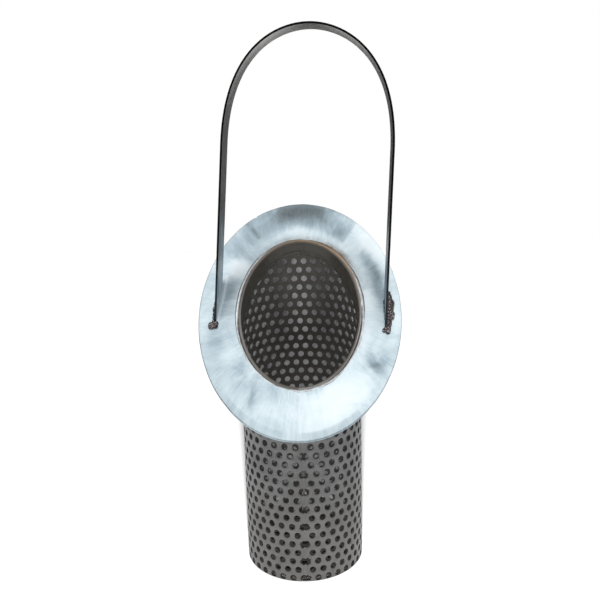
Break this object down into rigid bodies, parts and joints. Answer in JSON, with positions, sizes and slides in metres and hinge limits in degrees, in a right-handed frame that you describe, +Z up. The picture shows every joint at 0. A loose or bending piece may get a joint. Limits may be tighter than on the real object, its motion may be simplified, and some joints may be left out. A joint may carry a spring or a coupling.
{
  "type": "slant-top strainer basket",
  "caption": "Perforated steel tube closed at its lower end, with a sloping oval ring flange at its mouth and a bent strap handle welded across the flange.",
  "frame": {"origin": "centre of the underside of the floor plate, on which the basket stands", "axes": "+Z up along the tube's axis; +X to the right across the handle; the flange slopes down towards -Y, and the mouth faces up and towards -Y"},
  "size_m": [0.15, 0.1517, 0.3952],
  "materials": {
    "perforated_steel": "satin mill finish",
    "ground_steel": "hand ground, bright and mottled",
    "strap_steel": "satin",
    "tinted_steel": "heat tinted by welding",
    "weld_crust": "unfinished weld bead"
  },
  "bodies": {
    "root": {"perforated_shell": "perforated_steel", "shell_seam_weld": "perforated_steel", "bottom_plate": "perforated_steel", "bottom_weld": "weld_crust", "neck_band": "tinted_steel", "neck_joint_weld": "weld_crust", "flange_plate": "ground_steel", "rim_weld": "tinted_steel", "handle_strap": "strap_steel", "handle_weld_left": "weld_crust", "handle_weld_right": "weld_crust"}
  },
  "joints": []
}
